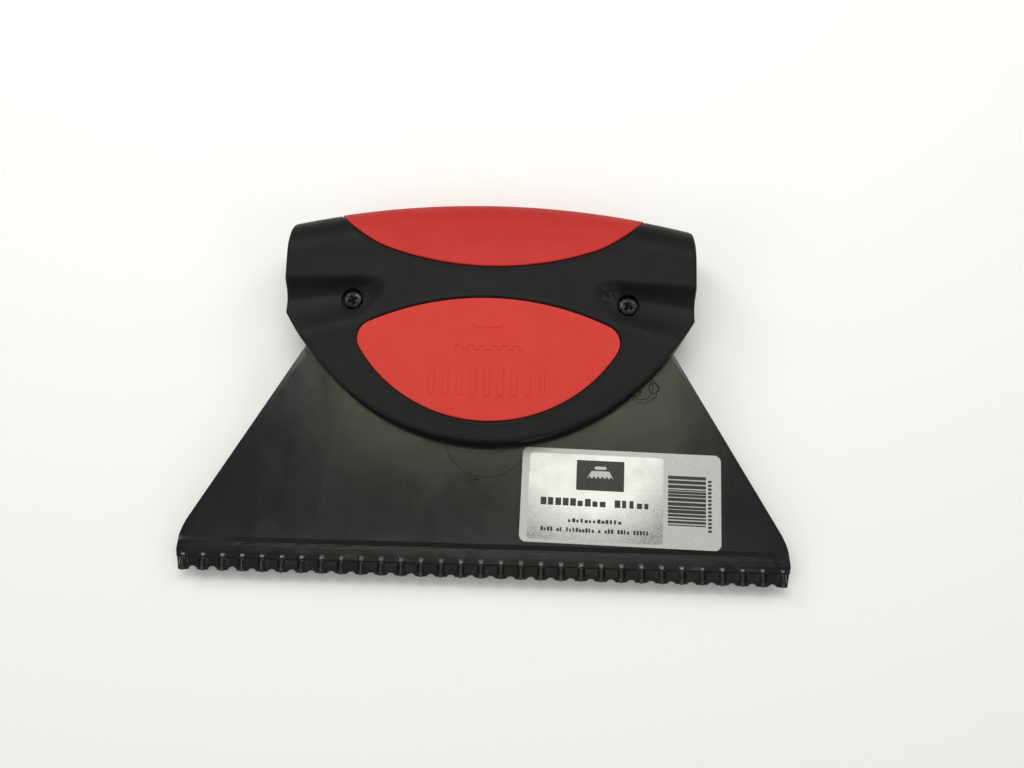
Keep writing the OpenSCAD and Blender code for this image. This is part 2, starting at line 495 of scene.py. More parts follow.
def scoop_height(x, y):
    """Height of the finger scoop beside each screw: steep above, gentle below, wider outwards."""
    turn = math.radians(8)
    deep = 9.4
    rise = 4.2
    above_screw = 2.5
    half_up = 5.4
    half_down = 12.5
    half_in = 13.0
    spread = 0.011
    across = np.abs(x) - SCREW_X
    up = y - SCREW_Y
    t = across * math.cos(turn) - up * math.sin(turn)
    n = across * math.sin(turn) + up * math.cos(turn) - above_screw
    half = np.where(n > 0, half_up, half_down) * (1 + spread * np.maximum(t, 0))
    return deep + rise * ((n / half)**2 + (np.minimum(t, 0) / half_in)**2)


def on_handle(uv, lift):
    """Places on the handle's surface, raised by lift along its normal."""
    read = {k: np.interp(uv[:, 1], PROFILE["v"], PROFILE[k]) for k in PROFILE}
    phi = uv[:, 0] / ARCH_R
    x = read["rho"] * np.sin(phi)
    y = AXIS_Y + read["rho"] * np.cos(phi)
    z = soft_min(read["z"], scoop_height(x, y), SCOOP_BLEND)
    x = x + lift * read["out_rho"] * np.sin(phi)
    y = y + lift * read["out_rho"] * np.cos(phi)
    return np.column_stack([x, y, z + lift * read["out_z"]])


def below_seam(line):
    """The points of a drawn line that don't reach over the top of the roll."""
    return line[np.hypot(line[:, 0], line[:, 1] - AXIS_Y) < ROLL_R + ARCH_R - 1e-4]


def seam_to_seam(middle, right):
    """An unwrapped outline: the mirrored right side, the middle, the right side, spare ends."""
    line = unwrap(np.vstack([right[::-1] * [-1, 1], middle, right]))
    above = np.array([[0, SEAM_SPARE]])
    return resample(np.vstack([line[:1] + above, line, line[-1:] + above]), LINE_STEP)


def rim_line():
    """The handle's outline, unwrapped: from the seam down one side, along the rim and up again."""
    fine = 0.05
    side_top = ROLL_Y + 2
    middle_y = RIM_Y + RIM_R
    flank_x = -(FLANK_R - RIM_R) * math.sin(RIM_TURN)
    flank_y = middle_y + (FLANK_R - RIM_R) * math.cos(RIM_TURN)
    turn = math.degrees(RIM_TURN)
    end = math.degrees(math.acos((HANDLE_X - flank_x) / FLANK_R))
    rim = arc(0, middle_y, RIM_R, 270 - turn, 270 + turn, fine)
    flank = arc(flank_x, flank_y, FLANK_R, 270 + turn, 360 - end, fine)
    side = resample(np.array([flank[-1], [HANDLE_X, side_top]]), fine)
    corner = below_seam(arc(HANDLE_X - END_R, side_top, END_R, 0, 60, fine / 5))
    return seam_to_seam(rim, np.vstack([flank[1:], side[1:-1], corner]))


def crescent_line():
    """The upper pad's outline, unwrapped, from the seam down and back up to it."""
    fine = 0.01
    low_y = 144.2
    wide_r = 153.0
    tight_r = 50.0
    wide_x = 48.0
    turn = math.asin(wide_x / wide_r)
    wide_y = low_y + wide_r
    tight_x = (wide_r - tight_r) * math.sin(turn)
    tight_y = wide_y - (wide_r - tight_r) * math.cos(turn)
    down = math.degrees(turn)
    middle = arc(0, wide_y, wide_r, 270 - down, 270 + down, fine)
    right = arc(tight_x, tight_y, tight_r, 270 + down, 350, fine)
    return seam_to_seam(middle, below_seam(right))


def over_seam(line):
    """An unwrapped line from seam to seam, closed far above the seam."""
    far = np.array([[0, 20 * SEAM_SPARE]])
    return np.vstack([line, line[-1:] + far, line[:1] + far])


def cut_at_seam(line):
    """The border that a line from seam to seam makes with the seam, and half the seam's length."""
    below = line[line[:, 1] < SEAM_V - 0.05]
    ends = below[[0, -1]].copy()
    ends[:, 1] = SEAM_V
    return np.vstack([below, resample(ends[::-1], SEAM_STEP)]), ends[1, 0]


def seam_lines(half):
    """Lines along the seam that its rounding needs."""
    return [(level_line(half, SEAM_V - d, SEAM_STEP), False) for d in bend_steps(SEAM_R, 3)]


def turned_over(mesh, front):
    """A mesh of the handle's front, or its mirror image behind it."""
    points, faces = mesh
    return points * [1, 1, 1 if front else -1], faces


def lens_ring():
    """The lens pad's outline in the drawing frame, unwrapped: two arcs with rounded tips."""
    fine = 0.05
    high_y = 128.9
    low_y = 69.8
    top_r = 133.0
    low_r = 71.5
    tip_r = 9.0
    top_c = high_y - top_r
    low_c = low_y + low_r
    a = top_r - tip_r
    b = low_r - tip_r
    tip_y = (a * a - b * b) / (2 * (low_c - top_c)) + (low_c + top_c) / 2
    tip_x = math.sqrt(b * b - (tip_y - low_c)**2)
    up = math.degrees(math.atan2(tip_y - top_c, tip_x))
    down = math.degrees(math.atan2(tip_y - low_c, tip_x))
    parts = [
        arc(0, low_c, low_r, -180 - down, down, fine),
        arc(tip_x, tip_y, tip_r, down, up, fine),
        arc(0, top_c, top_r, up, 180 - up, fine),
        arc(-tip_x, tip_y, tip_r, 180 - up, 180 - down, fine),
    ]
    return even_ring(unwrap(np.vstack([p[:-1] for p in parts])), LINE_STEP)


def blade_half_width(y):
    """Half the blade's width where its side edges lean."""
    return BLADE_W / 2 - (y - CORNER_Y) * math.tan(SIDE_LEAN)


# ---------- handle shells

def shell_points(border):
    """Loose points over the unwrapped shell, closer together at the scoops."""
    loose = grid(border, LOOSE_STEP)
    x, y, _ = on_handle(loose, 0).T
    low = SCREW_Y - 9
    high = SCREW_Y + 15
    inner = SCREW_X - 18
    far = (np.abs(x) < inner) | (y < low) | (y > high)
    fine = grid(np.array([[inner, low], [HANDLE_X - 0.3, high]]), 0.8)
    return np.vstack([loose[far], unwrap(fine), unwrap(fine * [-1, 1])])


def shell_lines(side, half, crescent, lens, front):
    """Lines that a shell's roundings, recesses and screw seats need."""
    lines = [(offset(side, -d, False), False) for d in bend_steps(EDGE_R)] + seam_lines(half)
    bead = [BEAD_AT - BEAD_W, BEAD_AT, BEAD_AT + BEAD_W]
    for d in [-RECESS_WALL, 0] + bend_steps(RECESS_LIP, 3) + bead:
        lines += [(offset(crescent, d, False), False), (offset(lens, d), True)]
    if front:
        seat = [RECESS_R - SEAT_WALL, RECESS_R] + [RECESS_R + d for d in bend_steps(SEAT_LIP, 3)]
        for x in (-SCREW_X, SCREW_X):
            lines += [(unwrap(circle(x, SCREW_Y, r)), True) for r in seat]
    return lines


def shell_lift(uv, side, crescent, lens):
    """How far a shell stands off the handle's plain surface."""
    lift = -edge_round(distance(uv, side), EDGE_R) - edge_round(SEAM_V - uv[:, 1], SEAM_R)
    for ring in (over_seam(crescent), lens):
        away = signed(uv, ring)
        wall = RECESS_LIP + (RECESS_DEPTH - RECESS_LIP) * np.clip(-away / RECESS_WALL, 0, 1)
        drop = np.where(away < 0, wall, edge_round(away, RECESS_LIP))
        lift = np.where(away < RECESS_LIP, np.minimum(lift, -drop), lift)
        lift += BEAD_H * np.clip(1 - np.abs(away - BEAD_AT) / BEAD_W, 0, 1)
    return lift


def sink_seats(top):
    """Lowers a shell's surface to the two flat screw seats."""
    for x in (-SCREW_X, SCREW_X):
        away = np.hypot(top[:, 0] - x, top[:, 1] - SCREW_Y) - RECESS_R
        top[:, 2] -= np.where(away >= 0, edge_round(away, SEAT_LIP), SEAT_LIP)
        share = np.clip(-away / SEAT_WALL, 0, 1)
        top[:, 2] += share * (SEAT_Z - top[:, 2])


def shell_mesh(front):
    """One handle shell, with the recesses for its pads and, in front, for the screws."""
    side = rim_line()
    crescent = crescent_line()
    lens = lens_ring()
    border, half = cut_at_seam(side)
    lines = shell_lines(side, half, crescent, lens, front)
    loose = clear_of(shell_points(border), [(border, False)] + lines, 0.45)
    uv, faces = triangulate(border, lines, loose)
    top = on_handle(uv, shell_lift(uv, side, crescent, lens))
    if front:
        sink_seats(top)
    over_blade = np.abs(top[:, 0]) < blade_half_width(top[:, 1]) - 0.1
    over_blade &= top[:, 1] < BLADE_H
    face = FRONT_Z if front else -BACK_Z
    bottom = top.copy()
    bottom[:, 2] = np.where(over_blade, face + BLADE_GAP, BLADE_GAP / 2)
    top[:, 2] = np.maximum(top[:, 2], bottom[:, 2])
    return turned_over(solid(top, faces, bottom), front)


# ---------- pads

def bar(x, y, w, h, r):
    """A level bar with round corners, as a ring."""
    r = min(r, w / 2 - 1e-3, h / 2 - 1e-3)
    parts = []
    for side_x, side_y, start in ((1, -1, -90), (1, 1, 0), (-1, 1, 90), (-1, -1, 180)):
        middle = (side_x * (w / 2 - r), side_y * (h / 2 - r))
        parts.append(arc(*middle, r, start, start + 90, 0.3))
    return even_ring(np.vstack(parts), 0.4) + [x, y]


def pictogram(x, y, w):
    """Rings of a plain notched trowel: a blade with a few teeth, and a grip above it."""
    teeth = 6
    notch_h = 0.06 * w
    shoulder_x = 0.34 * w
    shoulder_y = 0.28 * w
    blade = [(-w / 2, 0)]
    for k in range(teeth):
        left = -w / 2 + w * (k + 0.25) / teeth
        right = left + w * 0.5 / teeth
        blade += [(left, 0), (left, notch_h), (right, notch_h), (right, 0)]
    blade += [(w / 2, 0), (shoulder_x, shoulder_y), (-shoulder_x, shoulder_y)]
    grip = bar(x, y + 0.4 * w, 0.46 * w, 0.12 * w, 0.06 * w)
    return [even_ring(np.array(blade), 0.35) + [x, y], grip]


def relief_rings():
    """Raised marks on the lens pad: a trowel, and the ridges of adhesive that it leaves."""
    rings = pictogram(0, 103.5, 32)
    gap = 6.4
    ridge_w = 2.6
    for k in range(-4, 5):
        ridge_h = 14 - 0.5 * abs(k)
        rings.append(bar(k * gap, 88.0, ridge_w, ridge_h, ridge_w / 2))
    return rings


def pad_mesh(ring, border, seam, reliefs, rise, front):
    """A soft pad that fills its recess, with a rounded lip and raised marks."""
    lines = [(offset(ring, -d, not seam), not seam) for d in bend_steps(PAD_LIP)]
    if seam:
        lines += seam_lines(ring[-1, 0] + 5)
    for mark in reliefs:
        lines += [(mark, True), (offset(mark, -RELIEF_SLOPE), True)]
    loose = clear_of(grid(border, LOOSE_STEP), [(border, False)] + lines, 0.5)
    uv, faces = triangulate(border, lines, loose)
    away = distance(uv, ring if seam else closed(ring))
    lift = rise - edge_round(away, PAD_LIP)
    if seam:
        lift -= edge_round(SEAM_V - uv[:, 1], SEAM_R)
    for mark in reliefs:
        lo = mark.min(0) - 0.1
        hi = mark.max(0) + 0.1
        at = np.flatnonzero(((uv > lo) & (uv < hi)).all(1))
        lift[at] += RELIEF * np.clip(-signed(uv[at], mark) / RELIEF_SLOPE, 0, 1)
    top = on_handle(uv, lift)
    bottom = on_handle(uv, np.full(len(uv), -RECESS_DEPTH + BLADE_GAP))
    if seam:
        for found in (top, bottom):
            found[:, 2] = np.maximum(found[:, 2], BLADE_GAP / 2)
    return turned_over(solid(top, faces, bottom), front)


def crescent_mesh(front):
    """The upper pad, which ends at the seam."""
    ring = offset(crescent_line(), -PAD_GAP, False)
    border, _ = cut_at_seam(ring)
    return pad_mesh(ring, border, True, [], CRESCENT_RISE, front)


def lens_mesh(front):
    """The lower pad with its raised marks."""
    ring = offset(lens_ring(), -PAD_GAP)
    marks = [even_ring(unwrap(m), 0.4) for m in relief_rings()]
    return pad_mesh(ring, ring, False, marks, LENS_RISE, front)


# ---------- blade

def tooth_edge():
    """The toothed edge from left to right: a shallow round notch between every two pins."""
    spare = 25
    inset = 1.6
    half = math.degrees(math.acos((TIP_Y - NOTCH_Y + NOTCH_R) / NOTCH_R)) + spare
    corner = np.array([[-BLADE_W / 2, FOOT_Y], [inset - BLADE_W / 2, TIP_Y]])
    parts = [corner]
    for k, (x, y) in enumerate(notch_middles()):
        wear_and_painted_shade = WORN_BY if k < WORN_NOTCHES else NICK * DICE.random()
        notch = arc(x, y + wear_and_painted_shade, NOTCH_R, 90 + half, 90 - half, 0.15)
        parts.append(notch[notch[:, 1] > TIP_Y])
    parts.append(corner[::-1] * [-1, 1])
    return np.vstack(parts)


def blade_ring():
    """The blade's outline, anticlockwise, with the corners of the teeth worn round and nicked."""
    half = BLADE_W / 2
    edge = tooth_edge()
    round_y = CORNER_Y - SHOULDER_R * math.tan(SIDE_LEAN / 2)
    lean = math.degrees(SIDE_LEAN)
    shoulder = arc(half - SHOULDER_R, round_y, SHOULDER_R, 0, lean, 0.5)
    right = np.vstack([shoulder, [[blade_half_width(BLADE_H), BLADE_H]]])
    ring = even_ring(np.vstack([edge, right, right[::-1] * [-1, 1]]), 0.12)
    shifts = range(-2, 3)
    ring = even_ring(sum(np.roll(ring, k, 0) for k in shifts) / len(shifts), 0.34)
    nicks = DICE.normal(0, 0.07, len(ring)) * (ring[:, 1] < FOOT_Y)
    nicks = np.clip((nicks + np.roll(nicks, 1)) / 1.4, -NICK, 0)
    return offset(ring, nicks[:, None])


def rib_height(x, y):
    """Height of the rounded housings over the pins, which end in a flat ramp on the strip."""
    k = np.clip(np.round((x - FIRST_PIN_X) / PITCH), 0, PIN_COUNT - 1)
    across = np.abs(x - FIRST_PIN_X - k * PITCH)
    bell = 0.5 + 0.5 * np.cos(np.pi * np.minimum(across / RIB_W, 1))
    foot = BAND_Z - RIB_FOOT
    round_top = foot + (RIB_R - foot) * bell
    past = y - RIB_TO
    half_flat = (RAMP_W + RAMP_FAN * np.clip(past, 0, RAMP_L)) / 2
    slope = (RIB_R - STRIP_Z + RAMP_FOOT) / RAMP_L
    side_fall = 0.8 * np.maximum(across - half_flat, 0)**2
    ramp = RIB_R - slope * past - side_fall
    share = smooth_step((past + RAMP_BLEND / 2) / (0.9 * RAMP_BLEND))
    high = round_top + share * (ramp - round_top)
    return np.where(y < RIB_FROM, 0, high)


def rib_points():
    """Points for one housing, close together where it curves."""
    right = np.append(np.arange(0.2, 2, 0.25), [2.25, RIB_W])
    across = np.concatenate([-right[::-1], [0], right])
    foot = [RIB_FROM - 0.04, RIB_FROM]
    body = np.arange(RIB_FROM + 0.35, RIB_TO - 0.6, 0.45)
    end = RIB_TO + np.arange(-0.5, RAMP_L + 0.5, 0.22)
    x, y = np.meshgrid(across, np.concatenate([foot, body, end]))
    return np.column_stack([x.ravel(), y.ravel()])


def ragged(x, y, r, wobble):
    """A round mark with an uneven edge."""
    t = np.linspace(0, 2 * np.pi, 240, endpoint=False)
    waves = (0.5 * np.sin(3 * t + 1) + 0.4 * np.sin(8 * t)
             + 0.5 * np.sin(13 * t + 2) + 0.5 * np.sin(19 * t))
    r = r + wobble * waves
    return even_ring(np.column_stack([x + r * np.cos(t), y + r * np.sin(t)]), 0.4)


def mould_marks():
    """Fine lines that the mould leaves on the blade: (ring, height, half width)."""
    groove = (-0.15, 0.17)
    return [
        (circle(0.6, 65.3, 20.0), -0.09, 0.11),
        (ragged(-3.5, 44.9, 0.9, 0.3), *groove),
        (circle(9.2, 49.8, 0.4, 0.2), -0.1, 0.2),
        (ragged(74.1, 89.2, 6.6, 0.45), *groove),
        (circle(73.2, 89.6, 5.4), *groove),
        (ragged(79.0, 89.8, 2.4, 0.3), *groove),
        (circle(70.6, 87.8, 2.0), 0.16, 0.25),
    ]


def notch_middles():
    """Middles of the circles that the notches are cut with."""
    return [(FIRST_PIN_X + (k + 0.5) * PITCH, NOTCH_Y - NOTCH_R) for k in range(PIN_COUNT - 1)]


def blade_front(points, marks):
    """Height of the blade's front face."""
    x, y = points.T
    z = BAND_Z - BAND_FALL * np.maximum(BAND_H - y, 0)
    fall = STRIP_FALL * (0.5 - (y - BAND_H) / (STRIP_H - BAND_H))
    strip = STRIP_Z + np.where(y < STRIP_H, fall, -STRIP_FALL / 2)
    z += (strip - BAND_Z) * smooth_step((y - BAND_H) / BAND_STEP)
    z += (FRONT_Z + STRIP_FALL / 2 - STRIP_Z) * np.clip((y - STRIP_H) / BEVEL_H, 0, 1)
    z -= GROOVE_D * np.clip(1 - np.abs(y - STRIP_H - BEVEL_H - GROOVE_W) / GROOVE_W, 0, 1)
    z = soft_max(z, rib_height(x, y), 0.15)
    notch_slope = 0.8
    for cx, cy in notch_middles():
        near = np.flatnonzero((y < FOOT_Y) & (np.abs(x - cx) < NOTCH_R + NOTCH_BEVEL))
        past = np.hypot(x[near] - cx, y[near] - cy) - NOTCH_R
        z[near] -= notch_slope * np.clip(NOTCH_BEVEL - past, 0, NOTCH_BEVEL)
    for cx, cy in PITS:
        z -= PIT_D * np.clip((PIT_R - np.hypot(x - cx, y - cy)) / (PIT_R - PIT_FLOOR_R), 0, 1)
    for ring, high, wide in marks:
        near = np.flatnonzero(((points > ring.min(0) - wide) & (points < ring.max(0) + wide)).all(1))
        away = distance(points[near], closed(ring))
        z[near] += high * np.clip(1 - away / wide, 0, 1)
    return z


def blade_lines(ring, marks, half):
    """Lines that the blade's steps, marks, pits and notches need."""
    lines = [(offset(ring, -d), True) for d in bend_steps(PLATE_EDGE_R, 3)]
    lip = STRIP_H + BEVEL_H
    levels = [BAND_H, BAND_H + BAND_STEP / 2, BAND_H + BAND_STEP, STRIP_H, STRIP_H + BACK_STEP]
    levels += [lip + k * GROOVE_W for k in (0, 1, 2, 4)]
    lines += [(level_line(half, y, 1.5), False) for y in levels]
    guard = 0.25
    for mark, _, wide in marks:
        for d in (-wide - guard, -wide, 0, wide, wide + guard):
            lines.append((offset(mark, d), True))
    for centre in PITS:
        lines += [(circle(*centre, r, 0.2), True) for r in (PIT_FLOOR_R, PIT_R, PIT_R + 0.25)]
    for centre in notch_middles():
        for share in (0.5, 1):
            lines.append((arc(*centre, NOTCH_R + share * NOTCH_BEVEL, 140, 40, 0.3), False))
    return lines


def blade_mesh():
    """The moulded plate with its tooth strip, ribs, notches and mould marks."""
    ring = blade_ring()
    marks = mould_marks()
    half = BLADE_W / 2 - 0.8
    lines = blade_lines(ring, marks, half)
    ribs = np.vstack([rib_points() + [FIRST_PIN_X + k * PITCH, 0] for k in range(PIN_COUNT)])
    loose = grid(ring, 3.2)
    above_ribs = 9.5
    loose = loose[(loose[:, 1] > above_ribs) | (np.abs(loose[:, 0]) > half - 1)]
    loose = np.vstack([clear_of(loose, lines, 0.6), clear_of(ribs, lines, 0.03)])
    points, faces = triangulate(ring, lines, loose)
    rounding = edge_round(distance(points, closed(ring)), PLATE_EDGE_R)
    front = blade_front(points, marks) - rounding
    back_share = np.clip((points[:, 1] - STRIP_H) / BACK_STEP, 0, 1)
    back = LAND_Z + (BACK_Z - LAND_Z) * back_share + rounding
    return solid(np.column_stack([points, front]), faces, np.column_stack([points, back]))


def pin_mesh(k):
    """One hard metal pin with a ground tip, lying along y."""
    tip = 0.12 + 0.1 * DICE.random()
    side = PIN_R - 0.01
    profile = [(0, 0.02), (PIN_R - tip, 0.02), (PIN_R - 0.03, tip), (side, tip + 0.1)]
    profile += [(side, PIN_L - 0.1), (PIN_R - 0.1, PIN_L), (0, PIN_L)]
    points, faces = spun(profile, 32)
    x = FIRST_PIN_X + k * PITCH
    return np.column_stack([x + points[:, 0], PIN_Y + points[:, 2], points[:, 1]]), faces


# ---------- screws

def cross_ring():
    """Outline of the cross recess, with slightly tapered arms."""
    a = CROSS_W / 2
    b = CROSS_L / 2
    taper = 0.8
    points = []
    for c, s in ((1, 0), (0, 1), (-1, 0), (0, -1)):
        points += [(c * x - s * y, s * x + c * y) for x, y in ((b, -a * taper), (b, a * taper), (a, a))]
    return even_ring(np.array(points), 0.12)


def screw_head():
    """A pan head with a cross recess and four small radial marks."""
    rim = HEAD_R - 0.02
    crown = 0.35
    edge = 0.6
    wall = 0.15
    tip_depth = 2.2
    tip_slope = 0.85
    ring = circle(0, 0, rim, 0.25)
    cross = cross_ring()
    lines = [(cross, True), (offset(cross, -wall), True)]
    lines += [(circle(0, 0, rim - d, 0.3), True) for d in bend_steps(edge)]
    loose = clear_of(grid(ring, 0.3), lines + [(ring, True)], 0.06)
    points, faces = triangulate(ring, lines, loose)
    r = np.hypot(*points.T)
    dome = HEAD_H - crown * (r / HEAD_R)**2 - edge_round(rim - r, edge)
    deep = np.clip(-signed(points, cross) / wall, 0, 1)
    cone = HEAD_H - tip_depth + tip_slope * r
    z = dome + deep * (np.minimum(cone, dome) - dome)
    tick = bar(0, 0, 0.16, 1.0, 0.08) + [0, 1.85]
    for degrees in (45, 135, 225, 315):
        away = signed(points, turned(tick, math.radians(degrees)))
        z -= 0.18 * np.clip(-away / 0.05, 0, 1) * (1 - deep)
    bottom = np.column_stack([points, np.zeros(len(points))])
    return solid(np.column_stack([points, z]), faces, bottom)


def screw_mesh():
    """Both screws, each turned its own way: heads and shanks."""
    end = -14.4
    top = 0.3
    side = 1.95
    shank = spun([(0, end), (1.4, end), (side, end + 0.8), (side, top), (0, top)], 24)
    head = screw_head()
    found = []
    for x, turn in ((-SCREW_X, 0.5), (SCREW_X, 0.95)):
        for points, faces in (head, shank):
            flat = turned(points[:, :2], turn) + [x, SCREW_Y]
            found.append((np.column_stack([flat, points[:, 2] + SEAT_Z]), faces))
    return joined(found)


# ---------- label

def on_label(ring, z):
    """Points of the label, from its own middle, laid on the blade."""
    return np.column_stack([turned(ring, LABEL_TURN) + LABEL_AT, np.full(len(ring), z)])


def slab(ring, z0, z1):
    """A thin flat plate over a ring on the label."""
    flat, faces = triangulate(ring, [], np.empty((0, 2)))
    return solid(on_label(flat, z1), faces, on_label(flat, z0))


def label_spot(left, top, right, bottom, r):
    """A bar on the label given by shares of its width and height, from its top left corner."""
    w = (right - left) * LABEL_W
    h = (bottom - top) * LABEL_H
    x = ((left + right) / 2 - 0.5) * LABEL_W
    y = (0.5 - (top + bottom) / 2) * LABEL_H
    return bar(x, y, w, h, r)


def stripe_rings():
    """Made-up level stripes, which encode nothing, and small blocks beside them."""
    left, right = STRIPES_X
    y, end = STRIPES_Y
    found = []
    while y < end:
        thick = DICE.choice([0.013, 0.019, 0.027, 0.036])
        found.append(label_spot(left, y, right, y + thick, 0.02))
        y += thick + DICE.choice([0.006, 0.009, 0.012])
    for y in np.arange(0.27, 0.8, 0.04):
        found.append(label_spot(right + 0.01, y, right + 0.028, y + 0.026, 0.12))
    return found


def word_bars(left, right, top, bottom, words):
    """A line of plain blocks in place of words; each word is a number of blocks."""
    cell = (right - left) / (sum(words) + len(words) - 1)
    found = []
    x = left
    for count in words:
        for _ in range(count):
            start = top + DICE.choice([0, 0, 0.28]) * (bottom - top)
            wide = cell * DICE.choice([0.55, 0.7, 0.78])
            found.append(label_spot(x, start, x + wide, bottom, 0.12))
            x += cell
        x += cell
    return found


def printed(rings, low, high):
    """Print on the label for several rings, between two levels counted in ink layers."""
    top = FRONT_Z + LABEL_T
    return joined([slab(r, top + low * INK, top + high * INK) for r in rings])


def label_pieces(paper, foil, ink):
    """The label: its sheet, a foil panel, dark print and a light pictogram."""
    sheet = slab(bar(0, 0, LABEL_W, LABEL_H, 3.0), FRONT_Z + 0.01, FRONT_Z + LABEL_T)
    piece("label_sheet", sheet, paper, ["label"])
    panel = label_spot(*FOIL_SPOT, 1.5)
    piece("label_foil_panel", printed([panel], 0, 0.5), foil)
    dark = [label_spot(*EMBLEM_SPOT, 0.2)]
    dark += word_bars(0.10, 0.655, 0.525, 0.605, [9, 5])
    dark += word_bars(0.24, 0.51, 0.735, 0.778, [13])
    dark += word_bars(0.105, 0.645, 0.832, 0.878, [4, 2, 9, 1, 3, 4, 5])
    dark += stripe_rings()
    piece("label_print", printed(dark, 0.5, 1.5), ink)
    light = pictogram(-9.65, 8.6, 12)
    piece("label_pictogram", printed(light, 1.5, 2), paper)


# ---------- materials

def material(name, metallic=0.0, specular=0.5):
    """A new material, its node tree and its shader."""
    made = bpy.data.materials.new(name)
    made.use_nodes = True
    shader = made.node_tree.nodes["Principled BSDF"]
    shader.inputs["Metallic"].default_value = metallic
    shader.inputs["Specular IOR Level"].default_value = specular
    return made, made.node_tree, shader


def srgb(r, g, b):
    """A colour given in 0 to 255 steps, as linear light."""
    found = []
    for v in (r, g, b):
        v = v / 255
        found.append(v / 12.92 if v <= 0.04045 else ((v + 0.055) / 1.055)**2.4)
    return (*found, 1.0)


def worked_out(tree, kind, operation, value):
    """A new Math or VectorMath node that works on a value."""
    made = tree.nodes.new("ShaderNode" + kind)
    made.operation = operation
    tree.links.new(value, made.inputs[0])
    return made


def place(tree):
    """The point being shaded, in millimetres, in the row frame."""
    source = tree.nodes.new("ShaderNodeTexCoord")
    made = worked_out(tree, "VectorMath", "SCALE", source.outputs["Object"])
    made.inputs["Scale"].default_value = 1 / MM
    return made.outputs[0]


def noise(tree, at, size, detail, rough=0.5, stretch=(1, 1, 1)):
    """Noise with features about size millimetres across, from 0 to 1."""
    scaled = worked_out(tree, "VectorMath", "MULTIPLY", at)
    scaled.inputs[1].default_value = tuple(k / size for k in stretch)
    made = tree.nodes.new("ShaderNodeTexNoise")
    made.inputs["Scale"].default_value = 1.0
    made.inputs["Detail"].default_value = detail
    made.inputs["Roughness"].default_value = rough
    tree.links.new(scaled.outputs[0], made.inputs["Vector"])
    return made.outputs["Fac"]


def tones(tree, value, dark, light, low=NOISE_LOW, high=NOISE_HIGH):
    """A colour that goes from one to another, in 0 to 255 steps, as a value goes from low to high."""
    made = tree.nodes.new("ShaderNodeValToRGB")
    for element, at, colour in zip(made.color_ramp.elements, (low, high), (dark, light)):
        element.position = at
        element.color = srgb(*colour)
    tree.links.new(value, made.inputs["Fac"])
    return made.outputs["Color"]


def fit(tree, value, low, high, to_low, to_high):
    """A value moved from one range to another and kept in it."""
    made = tree.nodes.new("ShaderNodeMapRange")
    ends = {"From Min": low, "From Max": high, "To Min": to_low, "To Max": to_high}
    for name, end in ends.items():
        made.inputs[name].default_value = end
    tree.links.new(value, made.inputs["Value"])
    return made.outputs["Result"]


def mixed(tree, share, a, b):
    """Two colours mixed by a value; the second is a node's or is given in 0 to 255 steps."""
    made = tree.nodes.new("ShaderNodeMix")
    made.data_type = "RGBA"
    tree.links.new(share, made.inputs[0])
    tree.links.new(a, made.inputs[6])
    if isinstance(b, tuple):
        made.inputs[7].default_value = srgb(*b)
    else:
        tree.links.new(b, made.inputs[7])
    return made.outputs[2]


def painted(tree, shader, colour, value, smooth, rough):
    """Gives the shader its colour, and a roughness that follows a noise value."""
    tree.links.new(colour, shader.inputs["Base Color"])
    uneven = fit(tree, value, NOISE_LOW, NOISE_HIGH, smooth, rough)
    tree.links.new(uneven, shader.inputs["Roughness"])


def bumped(tree, shader, *layers):
    """Gives the shader a bump from layers of (height, depth in millimetres)."""
    last = None
    for height, depth in layers:
        made = tree.nodes.new("ShaderNodeBump")
        made.inputs["Distance"].default_value = depth * MM
        tree.links.new(height, made.inputs["Height"])
        if last:
            tree.links.new(last, made.inputs["Normal"])
        last = made.outputs["Normal"]
    tree.links.new(last, shader.inputs["Normal"])


def along_y(tree, at, low, high, to_low, to_high):
    """A value that changes between two heights of the drawing, measured from the tooth tips."""
    split = tree.nodes.new("ShaderNodeSeparateXYZ")
    tree.links.new(at, split.inputs[0])
    first, last = [(rest_pose() @ Vector((0, y, FRONT_Z))).y / MM for y in (low, high)]
    return fit(tree, split.outputs["Y"], first, last, to_low, to_high)


def near_point(tree, at, point, r):
    """A value that falls from one, at a point of the drawing frame, to zero at that distance."""
    made = worked_out(tree, "VectorMath", "DISTANCE", at)
    made.inputs[1].default_value = (rest_pose() @ Vector(point)) / MM
    return fit(tree, made.outputs["Value"], 0, r, 1, 0)


def product(tree, a, b):
    """Two values multiplied."""
    made = worked_out(tree, "Math", "MULTIPLY", a)
    tree.links.new(b, made.inputs[1])
    return made.outputs[0]


def handle_plastic():
    """Matte black plastic with a spark-eroded grain and a little dust; a lighter patch by a screw is a
    painted highlight, and darkening towards the top of the roll is painted shade.
    """
    made, tree, shader = material("handle_plastic", specular=0.13)
    at = place(tree)
    cloud = tones(tree, noise(tree, at, 25, 3), (22, 23, 24), (26, 26, 25))
    spots = fit(tree, noise(tree, at, 2, 4), 0.4, 0.7, 0, 0.5)
    # Painted highlight: a lighter, mottled patch where the inner end of the right scoop catches the
    # light
    painted_highlight = product(tree, near_point(tree, at, PAINTED_HIGHLIGHT_AT, 7), spots)
    cloud = mixed(tree, painted_highlight, cloud, (84, 84, 81))
    # Painted shade: the plastic darkens towards the top of the roll, which turns away from the light
    cloud = mixed(tree, along_y(tree, at, ROLL_Y - 22, ROLL_Y, 0, 0.8), cloud, (17, 18, 18))
    dust = fit(tree, noise(tree, at, 0.7, 0), 0.86, 0.9, 0, 0.25)
    colour = mixed(tree, dust, cloud, (120, 120, 116))
    painted(tree, shader, colour, noise(tree, at, 8, 4), 0.42, 0.52)
    bumped(tree, shader, (noise(tree, at, 0.35, 2), 0.025))
    return made


